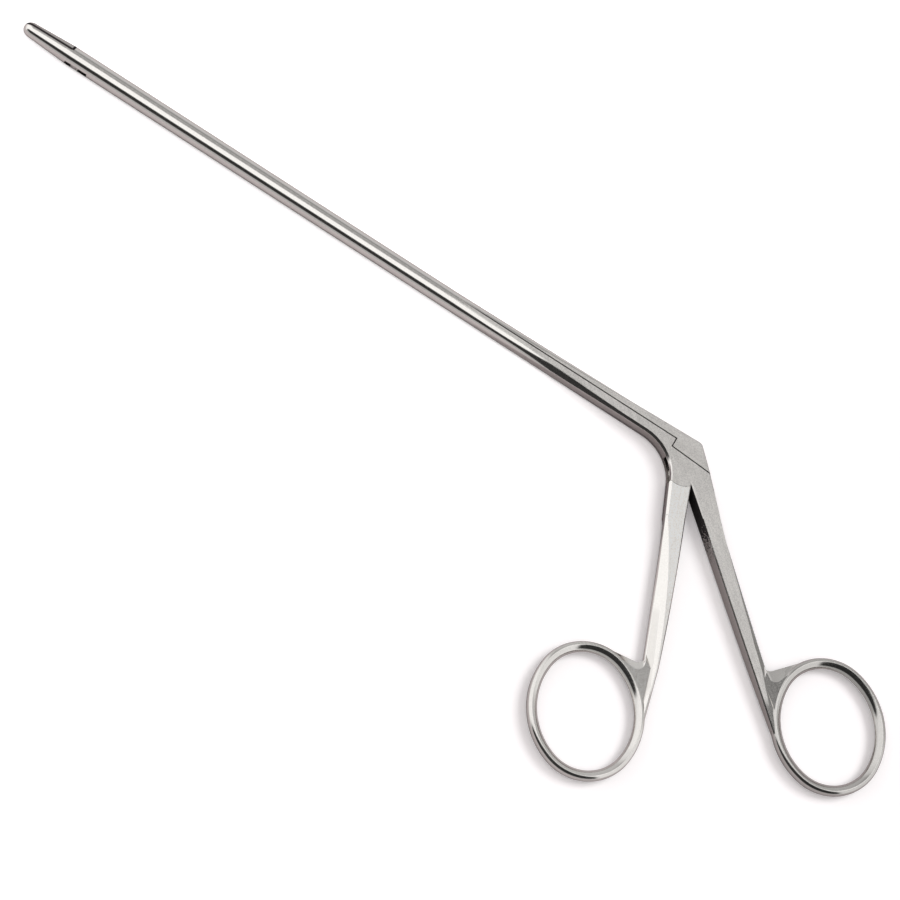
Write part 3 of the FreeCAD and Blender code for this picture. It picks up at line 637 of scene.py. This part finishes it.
@dataclass
class OvalRing:
    """Smooth oval ring of a handle, in millimetres and degrees.

    Along and out lead from the crotch to the centre, with and across the shank.
    """

    name: str
    member: Member
    angle: float
    side: int
    along: float
    out: float
    lean: float
    half_length: float = 16.5
    half_width: float = 13.9
    wire_half_width: float = 1.38
    ridge_out: float = 0.28
    ridge_height: float = 1.74
    inner_edge: float = 0.17
    inner_break: tuple[float, float] = (0.57, 0.90)
    outer_edge: float = 0.37
    outer_break: tuple[float, float] = (0.27, 1.17)
    corner_round: float = 0.17
    corner_steps: int = 3
    middle: float = MIDDLE
    steps: int = 96

    def centre(self) -> Vector:
        """Centre of the ring."""
        aside = level(self.angle + 90 * self.side)
        return (Vector((*CROTCH, self.middle)) + level(self.angle) * self.along
                + aside * self.out)

    def arcs(self) -> list[tuple[Vector, float, float]]:
        """The four arcs of the centre line.

        Returns:
            Each arc's centre, radius and whole turn, anticlockwise from the far end.
        """
        diagonal = math.hypot(self.half_length, self.half_width)
        excess = (self.half_length - self.half_width) * diagonal
        end_radius = (diagonal ** 2 - excess) / (2 * self.half_length)
        side_radius = (diagonal ** 2 + excess) / (2 * self.half_width)
        end_turn = math.atan2(side_radius - self.half_width, self.half_length - end_radius)
        axis = level(self.angle - self.lean * self.side)
        across = UP.cross(axis)
        centre = self.centre()
        found = []
        for way in (1, -1):
            found.append((centre + axis * way * (self.half_length - end_radius),
                          end_radius, 2 * end_turn))
            found.append((centre + across * way * (self.half_width - side_radius),
                          side_radius, math.pi - 2 * end_turn))
        return found

    def section(self, mesh: bmesh.types.BMesh) -> None:
        """Draw the ring's section, across on X and up on Y, with rounded corners.

        Args:
            mesh: an empty mesh, which gets the closed outline.
        """
        half = self.wire_half_width
        top = [
            (-half, self.inner_edge),
            (self.inner_break[0] - half, self.inner_break[1]),
            (self.ridge_out, self.ridge_height),
            (half - self.outer_break[0], self.outer_break[1]),
            (half, self.outer_edge),
        ]
        outline = top + [(across, -height) for across, height in reversed(top)]
        corners = [mesh.verts.new((across, height, 0.0)) for across, height in outline]
        mesh.faces.new(corners)
        bmesh.ops.bevel(mesh, geom=corners, offset=self.corner_round, offset_type="OFFSET",
                        segments=self.corner_steps, profile=0.5, affect="VERTICES", material=-1)
        bmesh.ops.delete(mesh, geom=mesh.faces[:], context="FACES_ONLY")

    def build(self, finish: bpy.types.Material) -> bpy.types.Object:
        """Spin the section round the four arcs.

        Args:
            finish: the ring's material.

        Returns:
            The ring, riding on its member.
        """
        arcs = self.arcs()
        axis = level(self.angle - self.lean * self.side)
        centre, radius, turn = arcs[0]
        outward = Matrix.Rotation(-turn / 2, 3, "Z") @ axis
        mesh = bmesh.new()
        self.section(mesh)
        stand = Matrix((outward, UP, outward.cross(UP))).transposed()
        bmesh.ops.transform(mesh, matrix=stand.to_4x4(), verts=mesh.verts)
        bmesh.ops.translate(mesh, vec=centre + outward * radius, verts=mesh.verts)
        section = mesh.edges[:]
        whole = sum(arc[2] for arc in arcs)
        for centre, _, turn in arcs:
            made = bmesh.ops.spin(mesh, geom=section, cent=centre, axis=UP, angle=turn,
                                  steps=round(self.steps * turn / whole), use_merge=False,
                                  use_normal_flip=False, use_duplicate=False)
            section = [part for part in made["geom_last"] if isinstance(part, bmesh.types.BMEdge)]
        bmesh.ops.remove_doubles(mesh, verts=mesh.verts, dist=1e-3)
        bmesh.ops.recalc_face_normals(mesh, faces=mesh.faces)
        bmesh.ops.scale(mesh, vec=(MM, MM, MM), verts=mesh.verts)
        for face in mesh.faces:
            face.smooth = True
        data = bpy.data.meshes.new(self.name)
        mesh.to_mesh(data)
        mesh.free()
        data.materials.append(finish)
        ring = bpy.data.objects.new(self.name, data)
        bpy.context.scene.collection.objects.link(ring)
        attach(ring, self.member.value)
        LOG.info("%s: %d faces, on %s", self.name, len(data.polygons), self.member.value)
        return ring


@dataclass
class FixedMember:
    """Lower jaw, lower half of the shaft, elbow body, thumb handle and thumb ring."""

    ring: OvalRing

    def build(self) -> None:
        """Dress the fixed member and lay its smooth ring."""
        elbow = SoftEdge(heading=-100.0, spread=(0.15, 0.45), tilt=38.0, low=(1.25, 1.50),
                         start_x=(-62.0, -34.0), end_x=(-2.0, -5.0))
        bevel = SoftEdge(heading=48.2, spread=(0.80, 0.95), tilt=0.0, low=(0.5, 0.7),
                         start_x=(8.0, 11.0), end_x=(90.0, 85.0))
        # Thumb web and its slopes darkened: painted reflection of a darker part of the room.
        dress("body_and_thumb_handle",
              Steel("satin steel, fixed member", Heading.THUMB_SHANK, web_painted_reflection=0.74,
                    slope_painted_reflection=0.90, edge=elbow, crown=bevel, seam_soot_and_shade=True, crotch=True).material())
        # Thumb ring darkened: painted reflection.
        self.ring.build(Steel("ring steel, thumb", Heading.THUMB_SHANK, round_tone_and_painted_reflection=0.70,
                              flat_tone_and_painted_reflection=0.70).material())


@dataclass
class FingerLever:
    """Finger handle with its ring."""

    ring: OvalRing

    def build(self) -> None:
        """Dress the finger handle and lay its smooth ring."""
        bevel = SoftEdge(heading=-160.8, spread=(0.80, 0.95), tilt=26.0, low=(0.95, 1.05),
                         start_x=(-40.0, -30.0), end_x=(60.0, 50.0))
        # Finger flats and web lightened: painted reflection.
        dress("finger_handle",
              Steel("satin steel, finger handle", Heading.FINGER_SHANK, flat_tone_and_painted_reflection=1.25,
                    flat_roughness=0.52, web_painted_reflection=1.15, edge=bevel, crotch=True).material())
        # Finger ring darkened: painted reflection.
        self.ring.build(Steel("ring steel, finger", Heading.FINGER_SHANK, round_tone_and_painted_reflection=0.87,
                              flat_tone_and_painted_reflection=0.87).material())


@dataclass
class RodAndJaw:
    """Sliding rod, upper jaw and the four pins."""

    pins: tuple[str, ...] = ("handle_pivot_pin", "drive_pin", "jaw_pivot_pin", "jaw_link_pin")

    def build(self) -> None:
        """Dress the rod, the jaw and the pins."""
        dress("sliding_rod", Steel("satin steel, rod", seam_soot_and_shade=True).material())
        # Upper jaw darkened: painted reflection of its grey band.
        dress("upper_jaw", Steel("jaw steel", round_tone_and_painted_reflection=0.68, seam_soot_and_shade=True).material())
        pin = Steel("pin steel", Heading.THUMB_SHANK, flat_tone_and_painted_reflection=1.02).material()
        for node in self.pins:
            dress(node, pin)


@dataclass
class Studio:
    """White table, soft box overhead and a room that is dark behind the camera.

    Pairs say where a soft step starts and ends: headings as shares, the rest in degrees,
    and places on the table in metres.
    """

    floor_half: float = 1.5
    floor_drop: float = 0.02
    floor_colour: float = 0.95
    # Painted glow of the table, stronger on the left near the shaft than near the handles.
    floor_lift: tuple[float, float] = (0.62, 0.16)
    lift_change: tuple[float, float] = (-0.055, -0.010)
    # Painted reflection tint: the table looks dimmer and mauve where steel mirrors it.
    mirror_colour: tuple[float, float, float] = (0.59, 0.565, 0.57)
    mirror_lift: float = 0.05
    # Painted shadow: these reaches and openness set how ambient occlusion darkens the table.
    contact_reach: float = 0.0012
    contact_open: float = 0.60
    shade_reach: float = 0.030
    shade_open: float = 1.15
    shade_samples: int = 6
    shade_colour: tuple[float, float, float] = (0.16, 0.13, 0.13)
    soak: float = 0.55
    soak_panel: float = 0.55
    soak_colour: tuple[float, float, float] = (1.0, 0.93, 0.94)
    softbox: float = 1.18
    softbox_near: tuple[float, float] = (-38.0, -31.0)
    softbox_far: tuple[float, float] = (15.0, 6.0)
    softbox_turn: float = 14.0
    softbox_left: tuple[float, float] = (-3.6, -2.6)
    softbox_right: tuple[float, float] = (1.5, 0.9)
    least_rise: float = 0.01
    room: float = 0.42
    room_right: float = 0.27
    right_start: tuple[float, float] = (0.12, 0.42)
    horizon: float = 0.66
    horizon_near: float = 0.50
    near_start: tuple[float, float] = (0.0, -0.4)
    horizon_height: tuple[float, float] = (29.0, 21.0)
    side_wall: float = 1.02
    side_start: tuple[float, float] = (0.72, 0.88)
    dark_heading: float = -88.0
    dark_half_turn: tuple[float, float] = (62.0, 54.0)
    dark_low: tuple[float, float] = (15.0, 21.0)
    dark_high: tuple[float, float] = (60.0, 52.0)
    dark: float = 0.035
    sun_heading: float = 52.0
    sun_height: float = 56.0
    sun_angle: float = 30.0
    sun_strength: float = 1.3

    def floor(self) -> None:
        """Lay the white table top."""
        mesh = bmesh.new()
        bmesh.ops.create_grid(mesh, x_segments=1, y_segments=1, size=self.floor_half)
        bmesh.ops.translate(mesh, vec=(0.0, 0.0, -self.floor_drop * MM), verts=mesh.verts)
        data = bpy.data.meshes.new("table_top")
        mesh.to_mesh(data)
        mesh.free()
        top = bpy.data.objects.new("table_top", data)
        bpy.context.scene.collection.objects.link(top)
        data.materials.append(self.floor_paint())
        LOG.info("table top: %.1f m square", 2 * self.floor_half)

    def floor_paint(self) -> bpy.types.Material:
        """White table with painted shadow close to the steel, a painted glow stronger on the left,
        and a dimmer painted tint where steel mirrors it.

        Returns:
            The table's material.
        """
        made = bpy.data.materials.new("white table")
        made.use_nodes = True
        graph = Graph(made.node_tree)
        rays = graph.node("ShaderNodeLightPath").outputs
        mirrored = rays["Is Glossy Ray"]
        shades = []
        # Painted shadow: ambient occlusion darkens the table towards the shade colour, tightly for
        # the camera and widely where steel mirrors it.
        for reach, clear in ((self.contact_reach, self.contact_open),
                             (self.shade_reach, self.shade_open)):
            near = graph.node("ShaderNodeAmbientOcclusion", samples=self.shade_samples)
            near.inputs["Distance"].default_value = reach
            shades.append(graph.smooth(near.outputs["AO"], 0.0, clear))
        openness = graph.blend(mirrored, *shades)
        open_colour = graph.tint(mirrored, (*(self.floor_colour,) * 3, 1.0),
                                 (*self.mirror_colour, 1.0))
        diffuse = graph.node("ShaderNodeBsdfDiffuse")
        graph.feed(diffuse.inputs["Color"],
                   graph.tint(openness, (*self.shade_colour, 1.0), open_colour))
        x, _, _ = graph.axes(graph.node("ShaderNodeTexCoord").outputs["Object"])
        # Painted glow: the table's own emission, stronger on the left than on the right.
        lift = graph.blend(graph.smooth(x, *self.lift_change), *self.floor_lift)
        lift = graph.blend(mirrored, lift, self.mirror_lift)
        seen = graph.math("MAXIMUM", rays["Is Camera Ray"], mirrored)
        glow = graph.node("ShaderNodeEmission")
        graph.feed(glow.inputs["Strength"],
                   graph.math("MULTIPLY", graph.math("MULTIPLY", seen, lift), openness))
        both = graph.node("ShaderNodeAddShader")
        graph.feed(both.inputs[0], diffuse.outputs[0])
        graph.feed(both.inputs[1], glow.outputs[0])
        graph.feed(graph.node("ShaderNodeOutputMaterial").inputs["Surface"], both.outputs[0])
        return made

    def walls(self, graph: Graph, way: tuple[Socket, Socket, Socket], height: Socket) -> Socket:
        """Light of the room's walls and of the skirt above the table.

        Args:
            graph: the world's graph.
            way: X, Y and Z of the direction.
            height: its height in degrees.

        Returns:
            The strength.
        """
        x, y, z = way
        level_reach = graph.math("SQRT", graph.math("SUBTRACT", 1.0, graph.math("MULTIPLY", z, z)))
        rightward = graph.math("DIVIDE", x, level_reach)
        nearward = graph.math("DIVIDE", y, level_reach)
        middle = graph.blend(graph.smooth(rightward, *self.right_start), self.room,
                             self.room_right)
        skirt = graph.blend(graph.smooth(nearward, *self.near_start), self.horizon,
                            self.horizon_near)
        strength = graph.blend(graph.smooth(height, *self.horizon_height), middle, skirt)
        sidelong = graph.math("ABSOLUTE", rightward)
        return graph.blend(graph.smooth(sidelong, *self.side_start), strength, self.side_wall)

    def dark_patch(self, graph: Graph, way: tuple[Socket, Socket, Socket],
                   height: Socket) -> Socket:
        """Dark patch behind the camera, which draws the long dark lines.

        Args:
            graph: the world's graph.
            way: X, Y and Z of the direction.
            height: its height in degrees.

        Returns:
            The patch, from 0 to 1.
        """
        x, y, _ = way

        def along(axis: Vector) -> Socket:
            """Part of the direction that lies along a level axis."""
            return graph.math("ADD", graph.math("MULTIPLY", x, axis.x),
                              graph.math("MULTIPLY", y, axis.y))

        ahead = level(self.dark_heading)
        turn = graph.math("DEGREES",
                          graph.math("ARCTAN2", along(UP.cross(ahead)), along(ahead)))
        patch = graph.smooth(graph.math("ABSOLUTE", turn), *self.dark_half_turn)
        patch = graph.math("MULTIPLY", patch, graph.smooth(height, *self.dark_low))
        return graph.math("MULTIPLY", patch, graph.smooth(height, *self.dark_high))

    def panel(self, graph: Graph, way: tuple[Socket, Socket, Socket]) -> Socket:
        """Soft box overhead, whose far edge runs askew on the left.

        Args:
            graph: the world's graph.
            way: X, Y and Z of the direction.

        Returns:
            The panel, from 0 to 1.
        """
        x, y, z = way
        lean = graph.math("DEGREES", graph.math("ARCTAN2", y, z))
        run = graph.math("DIVIDE", x, graph.math("MAXIMUM", z, self.least_rise))
        edge = graph.math("MULTIPLY_ADD", graph.math("MINIMUM", run, 0.0), self.softbox_turn, lean)
        panel = graph.math("MULTIPLY", graph.smooth(lean, *self.softbox_near),
                           graph.smooth(edge, *self.softbox_far))
        panel = graph.math("MULTIPLY", panel, graph.smooth(run, *self.softbox_left))
        return graph.math("MULTIPLY", panel, graph.smooth(run, *self.softbox_right))

    def world(self) -> None:
        """Light the room: bright above, pale all round, dark in one low patch."""
        room = bpy.data.worlds.new("studio")
        bpy.context.scene.world = room
        room.use_nodes = True
        graph = Graph(room.node_tree)
        way = graph.axes(graph.node("ShaderNodeTexCoord").outputs["Generated"])
        height = graph.math("DEGREES", graph.math("ARCSINE", way[2]))
        strength = graph.blend(self.dark_patch(graph, way, height),
                               self.walls(graph, way, height), self.dark)
        panel = self.panel(graph, way)
        strength = graph.blend(panel, strength, self.softbox)
        rays = graph.node("ShaderNodeLightPath").outputs
        soaked = graph.math("MULTIPLY_ADD", strength, self.soak,
                            graph.math("MULTIPLY", panel, self.soak_panel))
        strength = graph.blend(rays["Is Diffuse Ray"], strength, soaked)
        back = graph.node("ShaderNodeBackground")
        graph.feed(back.inputs["Strength"], graph.blend(rays["Is Camera Ray"], strength, 1.0))
        graph.feed(back.inputs["Color"],
                   graph.tint(rays["Is Diffuse Ray"], WHITE, (*self.soak_colour, 1.0)))
        graph.feed(graph.node("ShaderNodeOutputWorld").inputs["Surface"], back.outputs[0])

    def sun(self) -> None:
        """Hang the broad lamp whose soft shadows fall to the left."""
        lamp = bpy.data.lights.new("broad_lamp", "SUN")
        lamp.energy = self.sun_strength
        lamp.angle = math.radians(self.sun_angle)
        hung = bpy.data.objects.new("broad_lamp", lamp)
        bpy.context.scene.collection.objects.link(hung)
        way = level(self.sun_heading) * math.cos(math.radians(self.sun_height))
        way += UP * math.sin(math.radians(self.sun_height))
        hung.rotation_mode = "QUATERNION"
        hung.rotation_quaternion = way.to_track_quat("Z", "Y")
        hung.visible_glossy = False

    def build(self) -> None:
        """Set up the table, the room and the lamp."""
        self.floor()
        self.world()
        self.sun()
        bpy.context.scene.view_settings.view_transform = "Standard"


@dataclass
class PhotoCamera:
    """Camera of the photograph, in millimetres and degrees."""

    target: tuple[float, float, float] = (-53.256, -29.641, 2.5)
    azimuth: float = -6.79
    elevation: float = 68.0
    roll: float = 39.0
    distance: float = 900.0
    mm_per_pixel: float = 0.2525
    picture: float = 900.0
    sensor: float = 36.0
    clip: tuple[float, float] = (0.01, 20.0)

    def build(self) -> None:
        """Place the camera and make it the scene's."""
        data = bpy.data.cameras.new("photo_camera")
        data.sensor_width = self.sensor
        data.lens = self.sensor * self.distance / self.mm_per_pixel / self.picture
        data.clip_start, data.clip_end = self.clip
        turn, rise = math.radians(self.azimuth), math.radians(self.elevation)
        back = Vector((math.sin(turn) * math.cos(rise), -math.cos(turn) * math.cos(rise),
                       math.sin(rise)))
        level_right = Vector((math.cos(turn), math.sin(turn), 0.0))
        level_up = back.cross(level_right)
        lean = math.radians(self.roll)
        right = level_right * math.cos(lean) + level_up * math.sin(lean)
        camera = bpy.data.objects.new("photo_camera", data)
        bpy.context.scene.collection.objects.link(camera)
        place = (Vector(self.target) + back * self.distance) * MM
        turned = Matrix((right, back.cross(right), back)).transposed().to_4x4()
        camera.matrix_world = Matrix.Translation(place) @ turned
        bpy.context.scene.camera = camera


def main() -> None:
    """Build the forceps' looks, the studio and the camera."""
    logging.basicConfig(level=logging.INFO, format="%(message)s")
    for group in (WheelMarks(), SeamSootAndShade(), CrotchShade(), Handling()):
        group.build()
    FixedMember(OvalRing("thumb_ring", Member.BASE, angle=Heading.THUMB_SHANK.value, side=1,
                         along=68.5, out=15.1, lean=9.3)).build()
    FingerLever(OvalRing("finger_ring", Member.FINGER_LEVER, angle=Heading.FINGER_SHANK.value,
                         side=-1, along=64.0, out=16.2, lean=12.0)).build()
    RodAndJaw().build()
    Studio().build()
    PhotoCamera().build()


if __name__ == "__main__":
    main()
